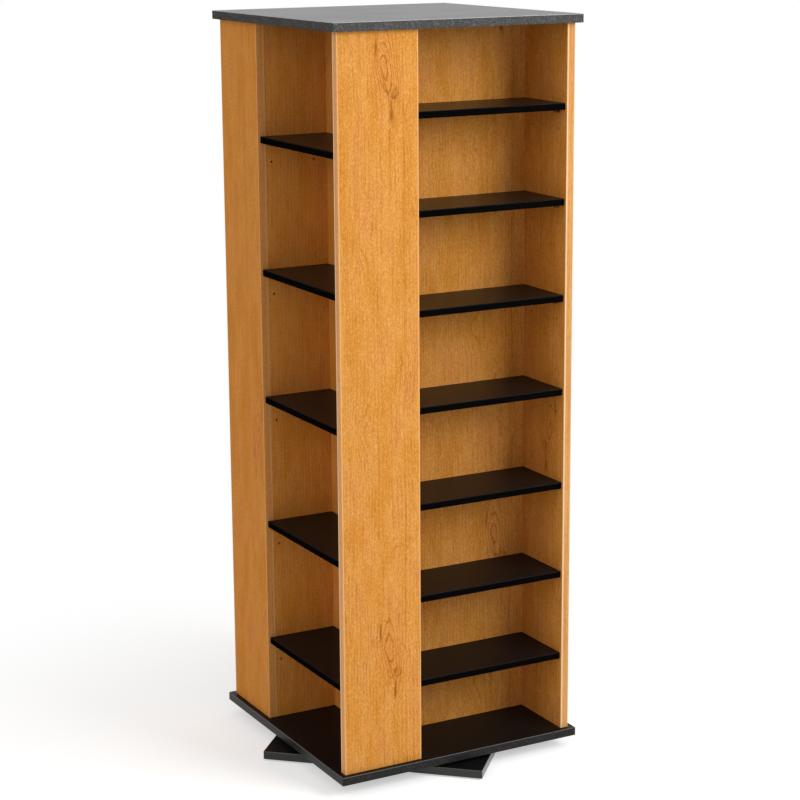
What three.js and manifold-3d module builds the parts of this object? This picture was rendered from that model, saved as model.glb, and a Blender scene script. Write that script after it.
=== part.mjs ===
// Four-sided media tower that turns on a ball-bearing turntable. Millimetres, +Z up.
// The origin is on the floor, on the upright axis that the tower turns about.

import * as THREE from 'three';
import { mergeVertices } from 'three/addons/utils/BufferGeometryUtils.js';
import Module from 'manifold-3d';

// Case: four wide side panels in a pinwheel, with a divider behind each
const caseSide = 457;
const panelWidth = 150;
const panelThickness = 15;
const innerHeight = 1275;

// Top and bottom boards
const boardThickness = 15;
const boardOverhang = 10.75;
const boardCornerRadius = 1.5;

// Shelves: each top lies at its share of the inner height above the bottom board
const shelfThickness = 12;
const shelfSetback = 4;
const shelfSideClearance = 0.5;
const shelfEdgeRadius = 1.5;
const lowShelfShares = [0.1134, 0.2344, 0.3643, 0.4984, 0.6304, 0.7635, 0.8931];
const tallShelfShares = [0.1233, 0.2979, 0.48, 0.6612, 0.846];

// Shelf pins: flat on top, round below, with a spare hole one step below each
const pinInset = 26;
const pinReach = 8;
const pinRoot = 6;
const pinRadius = 4;
const pinShoulder = 1.5;
const pinSeatGap = 0.3;
const holeDiameter = 5;
const holeDepth = 9;
const holeStep = 32;

// Base board, turned under the case, and its glides
const baseSide = 404;
const baseThickness = 15;
const baseCornerRadius = 1.5;
const baseTurnDegrees = 47.6;
const glideDiameter = 30;
const glideHeight = 3;
const glideChamfer = 0.8;
const glideInset = 34;

// Turntable: two pressed plates with a ring of balls between them
const turntableHeight = 6.5;
const plateSide = 152;
const plateCornerRadius = 10;
const plateThickness = 1.2;
const plateFlange = 10;
const raceRadius = 58;
const raceHalfWidth = 2.6;
const beadWidth = 1.6;
const beadHeight = 0.9;
const hubRadius = 38;
const lipReach = 5;
const flangeSlope = 3;
const runningGap = 0.3;
const hubGap = 0.6;
const ballCount = 16;
const cageThickness = 0.8;
const cageMargin = 0.4;

// Turntable screws
const screwInset = 10;
const screwShankRadius = 1.9;
const screwLength = 11;
const screwTipLength = 3;
const screwHeadRadius = 4;
const screwHeadHeight = 1.6;
const screwHeadCrown = 0.4;
const screwGap = 0.3;

// Facets, and the overrun of every cut and join
const ringFacets = 32;
const ballFacets = 6;
const ballBands = 4;
const screwFacets = 8;
const glideFacets = 14;
const cornerSteps = 3;
const shelfEdgeSteps = 2;
const pinSteps = 3;
const holeSides = 6;
const overrun = 1;

// Places that follow from the sizes above
const halfCase = caseSide / 2;
const bayLeft = panelWidth - halfCase;
const bayRight = halfCase - panelThickness;
const bayBack = bayLeft - panelThickness;
const baseBottom = glideHeight;
const baseTop = baseBottom + baseThickness;
const bottomBoardLow = baseTop + turntableHeight;
const floorLevel = bottomBoardLow + boardThickness;
const ceilingLevel = floorLevel + innerHeight;
const bottomSpan = caseSide + 2 * boardOverhang;
const screwPlace = plateSide / 2 - screwInset;
const screwHoleRadius = screwShankRadius + screwGap;

const wasm = await Module();
wasm.setup();

const oak = { color: 0xd99a4e, roughness: 0.45, metalness: 0 };
const blackLaminate = { color: 0x2b2b2d, roughness: 0.4, metalness: 0 };
const zincSteel = { color: 0xb9bcc0, roughness: 0.35, metalness: 0.9 };
const ballSteel = { color: 0xd7d9dc, roughness: 0.2, metalness: 1 };
const glidePlastic = { color: 0x1d1d1f, roughness: 0.6, metalness: 0 };

function named(name, geometry, finish) {
  const mesh = new THREE.Mesh(geometry, new THREE.MeshStandardMaterial(finish));
  mesh.name = name;
  return mesh;
}

// A closed geometry as a solid that can be joined and cut
function toSolid(geometry) {
  const bare = geometry.clone();
  bare.deleteAttribute('normal');
  bare.deleteAttribute('uv');
  const merged = mergeVertices(bare);
  return new wasm.Manifold(new wasm.Mesh({
    numProp: 3,
    vertProperties: merged.attributes.position.array,
    triVerts: Uint32Array.from(merged.index.array),
  }));
}

function toGeometry(solid) {
  const mesh = solid.getMesh();
  const geometry = new THREE.BufferGeometry();
  geometry.setAttribute('position', new THREE.BufferAttribute(mesh.vertProperties, 3));
  geometry.setIndex(new THREE.BufferAttribute(mesh.triVerts, 1));
  geometry.computeVertexNormals();
  return geometry;
}

function joined(first, others) {
  return others.reduce((whole, geometry) => whole.add(toSolid(geometry)), first);
}

function cut(first, others) {
  return others.reduce((whole, geometry) => whole.subtract(toSolid(geometry)), first);
}

function block(low, high) {
  const size = high.map((value, axis) => value - low[axis]);
  const middle = high.map((value, axis) => (value + low[axis]) / 2);
  return new THREE.BoxGeometry(...size).translate(...middle);
}

// A cylinder about an upright line, from a low to a high level
function post(radius, low, high, sides, x, y) {
  const cylinder = new THREE.CylinderGeometry(radius, radius, high - low, sides);
  return cylinder.rotateX(Math.PI / 2).translate(x, y, (low + high) / 2);
}

function turned(profile, facets) {
  const points = profile.map(([radius, level]) => new THREE.Vector2(radius, level));
  return new THREE.LatheGeometry(points, facets).rotateX(Math.PI / 2);
}

// An outline drawn in depth and height, extruded along the width of a bay
function alongWidth(shape, left, right, steps) {
  const solid = new THREE.ExtrudeGeometry(shape, {
    depth: right - left,
    bevelEnabled: false,
    curveSegments: steps,
  });
  const basis = new THREE.Matrix4().makeBasis(
    new THREE.Vector3(0, 1, 0),
    new THREE.Vector3(0, 0, 1),
    new THREE.Vector3(1, 0, 0),
  );
  return solid.applyMatrix4(basis).translate(left, 0, 0);
}

function roundedSquare(side, radius) {
  const half = side / 2;
  const inner = half - radius;
  const shape = new THREE.Shape();
  shape.moveTo(-inner, -half);
  shape.lineTo(inner, -half);
  shape.absarc(inner, -inner, radius, -Math.PI / 2, 0);
  shape.lineTo(half, inner);
  shape.absarc(inner, inner, radius, 0, Math.PI / 2);
  shape.lineTo(-inner, half);
  shape.absarc(-inner, inner, radius, Math.PI / 2, Math.PI);
  shape.lineTo(-half, -inner);
  shape.absarc(-inner, -inner, radius, Math.PI, Math.PI * 1.5);
  return shape;
}

function slab(side, radius, low, high) {
  const shape = roundedSquare(side, radius);
  const solid = new THREE.ExtrudeGeometry(shape, {
    depth: high - low,
    bevelEnabled: false,
    curveSegments: cornerSteps,
  });
  return solid.translate(0, 0, low);
}

const fourCorners = [[-1, -1], [1, -1], [1, 1], [-1, 1]];

// Heights above the bottom board of the shelf tops in one bay column
function shelfTops(shares) {
  return shares.map((share) => share * innerHeight);
}

function pinTop(shelfTop) {
  return shelfTop - shelfThickness - pinSeatGap;
}

// A pin from one x to another, its flat top at the given height
function pin(left, right, depth, top) {
  const shape = new THREE.Shape();
  const centre = top - pinShoulder;
  shape.moveTo(depth + pinRadius, top);
  shape.lineTo(depth - pinRadius, top);
  shape.lineTo(depth - pinRadius, centre);
  shape.absarc(depth, centre, pinRadius, Math.PI, 2 * Math.PI);
  shape.closePath();
  return alongWidth(shape, left, right, pinSteps);
}

function pinHole(left, right, depth, height) {
  const radius = holeDiameter / 2;
  const cylinder = new THREE.CylinderGeometry(radius, radius, right - left, holeSides);
  return cylinder.rotateZ(Math.PI / 2).translate((left + right) / 2, depth, height);
}

// Pins and spare holes on one wall of a bay: inward is +1 where the bay lies towards +X
function drilled(board, wall, inward, shares) {
  const depths = [pinInset - halfCase, bayBack - pinInset];
  const pins = [];
  const holes = [];
  const span = (a, b) => [Math.min(a, b), Math.max(a, b)];
  for (const shelfTop of shelfTops(shares)) {
    const top = pinTop(shelfTop);
    const spare = top - pinShoulder - holeStep;
    for (const depth of depths) {
      pins.push(pin(...span(wall - inward * pinRoot, wall + inward * pinReach), depth, top));
      holes.push(pinHole(...span(wall - inward * holeDepth, wall + inward * overrun), depth, spare));
    }
  }
  return toGeometry(joined(cut(toSolid(board), holes), pins));
}

// The right wall of a bay is the inner face of the next side's wide panel
function sidePanel(shares) {
  const low = [bayRight, -halfCase, 0];
  const high = [halfCase, panelWidth - halfCase, innerHeight];
  return drilled(block(low, high), bayRight, -1, shares);
}

// The left wall of a bay, which runs on past the bay and backs the bay before it
function divider(shares) {
  const low = [bayLeft - panelThickness, panelThickness - halfCase, 0];
  const high = [bayLeft, -bayLeft, innerHeight];
  return drilled(block(low, high), bayLeft, 1, shares);
}

function shelf() {
  const front = shelfSetback - halfCase;
  const back = bayBack - shelfSideClearance;
  const radius = shelfEdgeRadius;
  const shape = new THREE.Shape();
  shape.moveTo(back, -shelfThickness);
  shape.lineTo(back, 0);
  shape.lineTo(front + radius, 0);
  shape.absarc(front + radius, -radius, radius, Math.PI / 2, Math.PI);
  shape.lineTo(front, radius - shelfThickness);
  shape.absarc(front + radius, radius - shelfThickness, radius, Math.PI, Math.PI * 1.5);
  shape.closePath();
  return alongWidth(shape, bayLeft + shelfSideClearance, bayRight - shelfSideClearance, shelfEdgeSteps);
}

// One quarter of the case: a bay column with its left wall, its right wall and its shelves
function quarter(place, nextPlace, shares, turn) {
  const group = new THREE.Group();
  group.rotation.z = turn;
  group.position.z = floorLevel;
  group.add(named(`divider_${place}`, divider(shares), oak));
  group.add(named(`side_panel_${nextPlace}`, sidePanel(shares), oak));
  shelfTops(shares).forEach((top, index) => {
    const board = named(`shelf_${place}_${index + 1}`, shelf(), blackLaminate);
    board.position.z = top;
    group.add(board);
  });
  return group;
}

function pilotHoles(low, high) {
  return fourCorners.map(([x, y]) => {
    return post(screwHoleRadius, low, high, screwFacets, x * screwPlace, y * screwPlace);
  });
}

function screwDepth() {
  return screwLength - plateThickness + screwGap;
}

function topBoard() {
  return slab(bottomSpan, boardCornerRadius, ceilingLevel, ceilingLevel + boardThickness);
}

function bottomBoard() {
  const board = slab(bottomSpan, boardCornerRadius, bottomBoardLow, floorLevel);
  const holes = pilotHoles(bottomBoardLow - overrun, bottomBoardLow + screwDepth());
  return toGeometry(cut(toSolid(board), holes));
}

function baseBoard() {
  const board = slab(baseSide, baseCornerRadius, baseBottom, baseTop);
  const holes = pilotHoles(baseTop - screwDepth(), baseTop + overrun);
  return toGeometry(cut(toSolid(board), holes));
}

// The flat square of a plate, open in the middle up to the ring that is turned separately
function plateSquare(low, high) {
  const square = slab(plateSide, plateCornerRadius, low, high);
  const opening = post(raceRadius + plateFlange / 2, low - overrun, high + overrun, ringFacets, 0, 0);
  const holes = pilotHoles(low - overrun, high + overrun);
  return cut(toSolid(square), [opening, ...holes]);
}

// The two beads that keep the balls on their track, outwards from the hub
function raceBeads(face, rise) {
  const inner = raceRadius - raceHalfWidth;
  const outer = raceRadius + raceHalfWidth;
  return [
    [inner - beadWidth, face],
    [inner - beadWidth / 2, face + rise],
    [inner, face],
    [outer, face],
    [outer + beadWidth / 2, face + rise],
    [outer + beadWidth, face],
  ];
}

// Lower plate: its hub is rolled up and out over the inner flange of the upper plate
function lowerPlate() {
  const face = plateThickness;
  const hubOuter = hubRadius + plateThickness;
  const lipTop = turntableHeight - runningGap;
  const lipLow = lipTop - plateThickness;
  const rim = raceRadius + plateFlange;
  const profile = [
    [hubRadius, 0],
    [rim, 0],
    [rim, face],
    ...raceBeads(face, beadHeight).reverse(),
    [hubOuter, face],
    [hubOuter, lipLow],
    [hubOuter + lipReach, lipLow],
    [hubOuter + lipReach, lipTop],
    [hubRadius, lipTop],
    [hubRadius, 0],
  ];
  const ring = turned(profile, ringFacets);
  return toGeometry(joined(plateSquare(0, plateThickness), [ring]));
}

// Upper plate: its inner flange steps down under the rolled lip
function upperPlate() {
  const face = turntableHeight - plateThickness;
  const flangeInner = hubRadius + plateThickness + hubGap;
  const flangeOuter = flangeInner + lipReach;
  const flangeTop = turntableHeight - plateThickness - 2 * runningGap;
  const flangeLow = flangeTop - plateThickness;
  const rim = raceRadius + plateFlange;
  const profile = [
    [flangeInner, flangeLow],
    [flangeOuter + plateThickness, flangeLow],
    [flangeOuter + plateThickness + flangeSlope, face],
    ...raceBeads(face, -beadHeight),
    [rim, face],
    [rim, turntableHeight],
    [flangeOuter + flangeSlope, turntableHeight],
    [flangeOuter, flangeTop],
    [flangeInner, flangeTop],
    [flangeInner, flangeLow],
  ];
  const ring = turned(profile, ringFacets);
  return toGeometry(joined(plateSquare(face, turntableHeight), [ring]));
}

// The balls and the thin cage that spaces them, as one ring
function ballRing() {
  const middle = turntableHeight / 2;
  const radius = middle - plateThickness - runningGap;
  const half = cageThickness / 2;
  const inner = raceRadius - radius - cageMargin;
  const outer = raceRadius + radius + cageMargin;
  const cage = turned([
    [inner, middle - half],
    [outer, middle - half],
    [outer, middle + half],
    [inner, middle + half],
    [inner, middle - half],
  ], ringFacets);
  const balls = [];
  for (let index = 0; index < ballCount; index += 1) {
    const angle = (index / ballCount) * 2 * Math.PI;
    const ball = new THREE.SphereGeometry(radius, ballFacets, ballBands).rotateX(Math.PI / 2);
    balls.push(ball.translate(raceRadius * Math.cos(angle), raceRadius * Math.sin(angle), middle));
  }
  return toGeometry(joined(toSolid(cage), balls));
}

// A pan-head screw along the axis, its head's underside at zero and its tip above
function screw() {
  return turned([
    [0, -screwHeadHeight],
    [screwHeadRadius - screwHeadCrown, -screwHeadHeight],
    [screwHeadRadius, screwHeadCrown - screwHeadHeight],
    [screwHeadRadius, 0],
    [screwShankRadius, 0],
    [screwShankRadius, screwLength - screwTipLength],
    [0, screwLength],
  ], screwFacets);
}

// Four screws at the corners of a plate, with tips up or down from the plate's free face
function screws(label, face, up) {
  return fourCorners.map(([x, y], index) => {
    const piece = named(`${label}_screw_${index + 1}`, screw(), zincSteel);
    piece.position.set(x * screwPlace, y * screwPlace, face);
    piece.rotation.x = up ? 0 : Math.PI;
    return piece;
  });
}

function glide() {
  const radius = glideDiameter / 2;
  return turned([
    [0, 0],
    [radius - glideChamfer, 0],
    [radius, glideChamfer],
    [radius, glideHeight],
    [0, glideHeight],
  ], glideFacets);
}

function glides() {
  const reach = baseSide / 2 - glideInset;
  return fourCorners.map(([x, y], index) => {
    const piece = named(`glide_${index + 1}`, glide(), glidePlastic);
    piece.position.set(x * reach, y * reach, 0);
    return piece;
  });
}

// The base, the lower plate and its screws stand turned under the case
function standingBase() {
  const group = new THREE.Group();
  group.rotation.z = THREE.MathUtils.degToRad(baseTurnDegrees);
  group.add(named('base_board', baseBoard(), blackLaminate));
  group.add(...glides());
  const plate = named('turntable_lower_plate', lowerPlate(), zincSteel);
  plate.position.z = baseTop;
  group.add(plate);
  group.add(...screws('lower_plate', baseTop + plateThickness, false));
  return group;
}

function turningCase() {
  const group = new THREE.Group();
  group.add(named('top_board', topBoard(), blackLaminate));
  group.add(named('bottom_board', bottomBoard(), blackLaminate));
  const plate = named('turntable_upper_plate', upperPlate(), zincSteel);
  plate.position.z = baseTop;
  group.add(plate);
  group.add(...screws('upper_plate', bottomBoardLow - plateThickness, true));
  group.add(quarter('front', 'right', lowShelfShares, 0));
  group.add(quarter('right', 'back', tallShelfShares, Math.PI / 2));
  group.add(quarter('back', 'left', lowShelfShares, Math.PI));
  group.add(quarter('left', 'front', tallShelfShares, Math.PI * 1.5));
  return group;
}

function ballCage() {
  const ring = named('ball_ring', ballRing(), ballSteel);
  ring.position.z = baseTop;
  return ring;
}

const tower = new THREE.Group();
tower.add(standingBase(), turningCase(), ballCage());

export default tower;
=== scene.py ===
"""The looks of the rotating media tower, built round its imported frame. Metres, +Z up."""

import math

import bpy
import numpy as np
from mathutils import Matrix, Vector

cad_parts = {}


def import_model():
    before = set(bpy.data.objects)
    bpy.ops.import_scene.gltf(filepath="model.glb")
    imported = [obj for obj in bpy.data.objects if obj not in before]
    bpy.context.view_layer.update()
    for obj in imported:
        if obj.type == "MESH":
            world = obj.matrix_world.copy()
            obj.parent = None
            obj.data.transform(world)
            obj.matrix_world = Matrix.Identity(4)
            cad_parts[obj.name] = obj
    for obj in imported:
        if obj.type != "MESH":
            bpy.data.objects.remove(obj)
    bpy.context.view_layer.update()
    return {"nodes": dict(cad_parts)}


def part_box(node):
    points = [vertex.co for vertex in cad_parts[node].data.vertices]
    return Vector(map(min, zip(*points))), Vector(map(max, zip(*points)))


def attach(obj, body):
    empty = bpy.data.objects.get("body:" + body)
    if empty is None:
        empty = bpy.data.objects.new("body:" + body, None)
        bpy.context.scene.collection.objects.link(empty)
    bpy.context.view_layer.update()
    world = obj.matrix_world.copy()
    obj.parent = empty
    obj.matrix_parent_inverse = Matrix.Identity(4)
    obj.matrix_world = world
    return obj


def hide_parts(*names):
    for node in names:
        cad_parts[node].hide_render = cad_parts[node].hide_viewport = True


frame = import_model()

MM = 0.001

# The four sides, in the order that a quarter turn brings them round, and how many shelves each has
SIDES = ("front", "right", "back", "left")
SHELVES = {"front": 7, "right": 5, "back": 7, "left": 5}

# The corners of a square, anticlockwise from above
CORNERS = ((-1, -1), (1, -1), (1, 1), (-1, 1))

# Sizes of the case that the frame's boxes don't give by themselves
PANEL_THICKNESS = 15 * MM
PIN_INSET = 26 * MM
PIN_REACH = 8 * MM
PIN_RADIUS = 4 * MM
PIN_SHOULDER = 1.5 * MM
PIN_SEAT_GAP = 0.3 * MM
BASE_TURN = math.radians(47.6)
BASE_SIDE = 404 * MM

# Turntable, screws and glides, as in the solids
TURNTABLE_HEIGHT = 6.5 * MM
PLATE_SIDE = 152 * MM
PLATE_CORNER = 10 * MM
PLATE_THICKNESS = 1.2 * MM
RACE_RADIUS = 58 * MM
RACE_HALF = 2.6 * MM
BEAD_WIDTH = 1.6 * MM
BEAD_HEIGHT = 0.9 * MM
HUB_RADIUS = 38 * MM
LIP_REACH = 5 * MM
FLANGE_SLOPE = 3 * MM
RUNNING_GAP = 0.3 * MM
HUB_GAP = 0.6 * MM
BALLS = 16
CAGE_HALF = 0.4 * MM
SCREW_PLACE = 66 * MM
SCREW_HEAD = 4 * MM
SCREW_HEAD_HEIGHT = 1.6 * MM
SCREW_SHANK = 1.9 * MM
SCREW_LENGTH = 11 * MM
SCREW_TIP = 3 * MM
GLIDE_PLACE = 168 * MM
GLIDE_RADIUS = 15 * MM
GLIDE_HEIGHT = 3 * MM
GLIDE_CHAMFER = 0.8 * MM

# Small radii that the hand and the light meet
BOARD_CORNER = 1.5 * MM
BOARD_EDGE = 0.9 * MM
SHELF_EDGE = 1.2 * MM
BAND_THICKNESS = 0.4 * MM
BAND_EDGE = 0.18 * MM
ARC_STEPS = 4

# Camera, with its eye and turn solved from the photo's edges
EYE = Vector((-1.8078, -3.3328, 1.5231))
LOOK_YAW = 0.49898
LOOK_PITCH = -0.21906
LOOK_ROLL = -0.0066
FOCAL_PIXELS = 2146.7
IMAGE_PIXELS = 800
AXIS_ROW = 376
SENSOR_MM = 36.0


def srgb(red, green, blue):
    """A colour written as screen values from 0 to 255, as linear light."""
    shares = np.array([red, green, blue]) / 255
    low = shares / 12.92
    high = ((shares + 0.055) / 1.055) ** 2.4
    return tuple(np.where(shares <= 0.04045, low, high)) + (1.0,)


class Wire:
    """A shader value that sums, products and powers can be written on."""

    def __init__(self, graph, socket):
        self.graph = graph
        self.socket = socket

    def math(self, operation, first, second=None):
        """A maths node of one or two values."""
        inputs = {0: first} if second is None else {0: first, 1: second}
        return self.graph.node("ShaderNodeMath", {"operation": operation}, inputs)

    def __add__(self, other):
        return self.math("ADD", self, other)

    __radd__ = __add__

    def __sub__(self, other):
        return self.math("SUBTRACT", self, other)

    def __rsub__(self, other):
        return self.math("SUBTRACT", other, self)

    def __mul__(self, other):
        return self.math("MULTIPLY", self, other)

    __rmul__ = __mul__

    def __truediv__(self, other):
        return self.math("DIVIDE", self, other)

    def __pow__(self, other):
        return self.math("POWER", self, other)

    def __mod__(self, other):
        return self.math("FLOORED_MODULO", self, other)

    def __abs__(self):
        return self.math("ABSOLUTE", self)

    def exp(self):
        return self.math("EXPONENT", self)

    def root(self):
        return self.math("SQRT", self)

    def clip(self):
        """The value held between 0 and 1."""
        return self.math("MINIMUM", self.math("MAXIMUM", self, 0.0), 1.0)


class Graph:
    """The nodes of one material."""

    def __init__(self, name):
        self.material = bpy.data.materials.new(name)
        self.material.use_nodes = True
        self.tree = self.material.node_tree
        self.surface = self.tree.nodes["Principled BSDF"]
        self.place = self.node("ShaderNodeTexCoord", output="Object")
        parts = self.node("ShaderNodeSeparateXYZ", inputs={0: self.place}, output=None)
        self.x, self.y, self.z = (Wire(self, socket) for socket in parts.outputs)

    def node(self, kind, settings=None, inputs=None, output=0):
        """A node with its settings, and the values or links of its sockets. Gives one output of it."""
        made = self.tree.nodes.new(kind)
        for key, value in (settings or {}).items():
            setattr(made, key, value)
        for key, value in (inputs or {}).items():
            if isinstance(value, Wire):
                self.tree.links.new(value.socket, made.inputs[key])
            else:
                made.inputs[key].default_value = value
        return made if output is None else Wire(self, made.outputs[output])

    def stretched(self, scale, shift=(0, 0, 0)):
        """The place on the piece, scaled by axis and shifted."""
        inputs = {"Vector": self.place, "Scale": scale, "Location": shift}
        return self.node("ShaderNodeMapping", None, inputs)

    def noise(self, vector, scale=1.0, detail=2.0, roughness=0.5):
        """Cloudy noise from 0 to 1."""
        values = {"Vector": vector, "Scale": scale, "Detail": detail, "Roughness": roughness}
        return self.node("ShaderNodeTexNoise", {"normalize": True}, values)

    def noises(self, table, seed, step):
        """The noises of a table by name, each stretched by its own scale and shifted by the seed."""
        shift = tuple(seed * part for part in step)
        return {
            name: self.noise(self.stretched(scale, shift), 1.0, detail, roughness)
            for name, (scale, detail, roughness) in table.items()
        }

    def blend(self, share, first, second, way="MIX"):
        """One colour going over to another, or to its product with the other, by a share."""
        inputs = {0: share, 6: first, 7: second}
        return self.node("ShaderNodeMix", {"data_type": "RGBA", "blend_type": way}, inputs, 2)

    def layers(self, colour, *tints):
        """A colour with others laid over it one by one, each by its own share."""
        for share, tint in tints:
            colour = self.blend(share, colour, tint)
        return colour

    def ramp(self, share, low, high):
        """0 below low, 1 above high, and smooth between them."""
        limits = {"Value": share, "From Min": low, "From Max": high}
        return self.node("ShaderNodeMapRange", {"interpolation_type": "SMOOTHSTEP"}, limits)

    def attribute(self, name):
        """A value that each point of the mesh holds."""
        return self.node("ShaderNodeAttribute", {"attribute_name": name}, None, "Fac")

    def bump(self, height, distance, strength=1.0):
        """A normal that follows a height, of which 1 stands for the distance in metres."""
        inputs = {"Height": height, "Distance": distance, "Strength": strength}
        return self.node("ShaderNodeBump", None, inputs)

    def finish(self, colour, roughness, normal=None, **constants):
        """Sets the surface: varying colour, roughness and normal, and constants by socket name."""
        for key, value in (("Base Color", colour), ("Roughness", roughness), ("Normal", normal)):
            if isinstance(value, Wire):
                self.tree.links.new(value.socket, self.surface.inputs[key])
            elif value is not None:
                self.surface.inputs[key].default_value = value
        for key, value in constants.items():
            self.surface.inputs[key.replace("_", " ")].default_value = value
        return self.material


# Oak print

OAK_BODY = srgb(227, 154, 63)
OAK_PALE = srgb(236, 168, 84)
OAK_ROSE = srgb(226, 148, 80)
OAK_GRAIN = srgb(190, 113, 32)
OAK_KNOT = srgb(150, 85, 16)
# Pale specks in the grain, and the painted highlight along the panels' upright arrises
OAK_PALE_SPECK_AND_HIGHLIGHT = srgb(250, 190, 122)
# Multiplied over a sheet to deepen and warm it; on the left panel it is painted shade
OAK_DEPTH_AND_SHADE = srgb(254, 243, 222)
BAND_FIBRE = srgb(206, 134, 68)
BAND_FLECK = srgb(190, 118, 52)
# Painted highlight along the bands' long edges and arrises
BAND_HIGHLIGHT = srgb(255, 220, 174)

# How far one step of the seed shifts the noises of a face's print and of a band's
FACE_SEED_STEP = (3.1, 1.7, 2.3)
BAND_SEED_STEP = (2.9, 4.3, 1.1)

# The noises that shake the lines of the print and those that grain it: the repeats per metre along x, y
# and z, then the detail and the roughness
OAK_SHAKES = {
    "drift": ((11, 11, 1.6), 2.0, 0.5),
    "sway": ((6, 6, 4.5), 2.0, 0.5),
    "quiver": ((48, 48, 26), 2.0, 0.6),
    "wobble": ((170, 170, 75), 2.0, 0.6),
    "burr": ((420, 420, 300), 2.0, 0.6),
}
OAK_GRAINS = {
    "breaks": ((60, 60, 14), 2.0, 0.6),
    "fibre": ((460, 460, 18), 3.0, 0.6),
    "band": ((170, 170, 4), 3.0, 0.55),
    "patch": ((30, 30, 9), 2.0, 0.5),
    "speck": ((680, 680, 300), 2.0, 0.6),
    "pores": ((1400, 1400, 90), 1.0, 0.5),
    "dashes": ((640, 640, 60), 1.0, 0.5),
}
BAND_GRAINS = {
    "streak": ((300, 300, 5), 3.0, 0.55),
    "fibre": ((900, 900, 34), 2.0, 0.6),
    "fleck": ((560, 560, 150), 2.0, 0.6),
}

# The figure of the print, in metres. A knot comes back each repeat. A spot is given by its place across
# and up, from the figure's axis and from the knot's level, and by its half width and half height.
PRINT_REPEAT = 1.0
KNOT_LEVEL = 0.22
KNOT_PLACE = 0.017
KNOT_HALF_WIDTH = 0.0054
KNOT_HALF_HEIGHT = 0.0072
KNOT_HUMP = (KNOT_PLACE, 0.010, 0.011, 0.026)
LOOP_PLACE = -0.002
LOOP_LEVEL = 0.046
LOOP_LEAN = 0.17
LOOP_TAPER = (LOOP_LEVEL - 0.05, LOOP_LEVEL + 0.03)
LOOP_HUMP = (0, LOOP_LEVEL, 0.0215, 0.038)
LOOP_NEAR = (0.004, 0.040, 0.024, 0.060)
FIGURE_LEVEL = 0.02
FIGURE_REACH = 0.085
FANS = ((-0.052, -0.235, 0.020, 0.040), (-0.050, 0.435, 0.018, 0.034))
SIDE_LOOP = (0.037, -0.455, 0.009, 0.030)
BUDS = ((0.019, 0.236, 0.006, 0.013), (0.018, 0.125, 0.006, 0.013))
FLECK = (0.011, -0.036, 0.0024, 0.0085)
STREAK = (-0.017, 0.076, 0.0020, 0.0170)
ROOT = (0.001, 0.012, 0.0015, 0.034)
ROOT_LEAN = 0.30
TAIL = (0.012, -0.024, 0.0013, 0.017)
VEIN_PLACE = 0.034
VEIN_HALF_WIDTH = 0.0013
RING_WIDTH = 0.45
HEART_RADIUS = 0.2
HEART_WIDTH = 0.35
AXIS_BLUNTNESS = 0.00016
SWAY = 8 * MM
QUIVER_ACROSS = 3.5 * MM
QUIVER_ALONG = 3 * MM

# The growth lines: how many there are per metre, by how many each cause shifts them, and which share of a
# line is late wood, from where it begins to where it ends
LINES_PER_METRE = 150
DRIFT_LINES = 5.0
WOBBLE_LINES = 0.85
LOOP_LINES = 1.8
LOOP_LINES_PER_METRE = 0.33
FAN_LINES = 2.4
SIDE_LOOP_LINES = 1.6
LATE_START = (0.62, 0.88)
LATE_END = (0.90, 1.0)

# A panel's half width, and how far from its middle the painted highlight along its upright arrises begins
# and is full, and how strongly it shows
PANEL_HALF = 75 * MM
RIM_HIGHLIGHT_LINE = (PANEL_HALF - 2.4 * MM, PANEL_HALF - 1.0 * MM)
RIM_HIGHLIGHT_SHOWN = 0.8

# Where the painted highlights along a band's long edges begin and are full, in depth from the front face
HIGHLIGHT_FRONT = (0.8 * MM, 2.2 * MM)
HIGHLIGHT_BACK = (PANEL_THICKNESS - 3.8 * MM, PANEL_THICKNESS - 2.0 * MM)


def bell(distance):
    """A soft crest where a distance is zero: e to the minus of its square."""
    return (0 - distance ** 2).exp()


def spot(across, along, place):
    """A soft oval spot: e to the minus of the squared distances over its half width and half height."""
    middle, level, wide, tall = place
    return (0 - (((across - middle) / wide) ** 2 + ((along - level) / tall) ** 2)).exp()


def lap_from(height, level):
    """The height above the nearest repeat of a level, from minus half of the repeat to plus half."""
    return (height - (level - PRINT_REPEAT / 2)) % PRINT_REPEAT - PRINT_REPEAT / 2


def oak_lines(g, shake, side, lap, level):
    """How late in its growth line each point lies, and how near it is to the knot's loops and to others.

    The line number is the distance from the figure's axis over the line spacing, plus a slow drift and
    minus tall oval humps, whose contours close into loops. Each line darkens slowly and ends sharply.
    The loops lean, narrow towards the knot and are a little deeper in the print's upper repeat.
    """
    leaning = side - LOOP_PLACE + (lap - LOOP_LEVEL) * level * LOOP_LEAN
    taper = 1.7 - g.ramp(lap, *LOOP_TAPER) * 0.8
    hump = spot(leaning * taper, lap, LOOP_HUMP) + spot(side, lap, KNOT_HUMP) * 0.5
    fan = spot(side, lap, FANS[0]) + spot(side, lap, FANS[1])
    loop = spot(side, lap, SIDE_LOOP)
    for bud in BUDS:
        loop = loop + spot(side, lap, bud) * 0.8
    spread = (side ** 2 + AXIS_BLUNTNESS).root()
    depth = g.z * LOOP_LINES_PER_METRE + LOOP_LINES
    line = spread * LINES_PER_METRE + shake["drift"] * DRIFT_LINES + shake["wobble"] * WOBBLE_LINES
    line = line - hump * depth - fan * FAN_LINES - loop * SIDE_LOOP_LINES
    saw = line % 1.0
    late = g.ramp(saw, *LATE_START) * (1 - g.ramp(saw, *LATE_END))
    return late, spot(leaning, lap, LOOP_NEAR), fan * 0.4 + loop * 0.6


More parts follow.
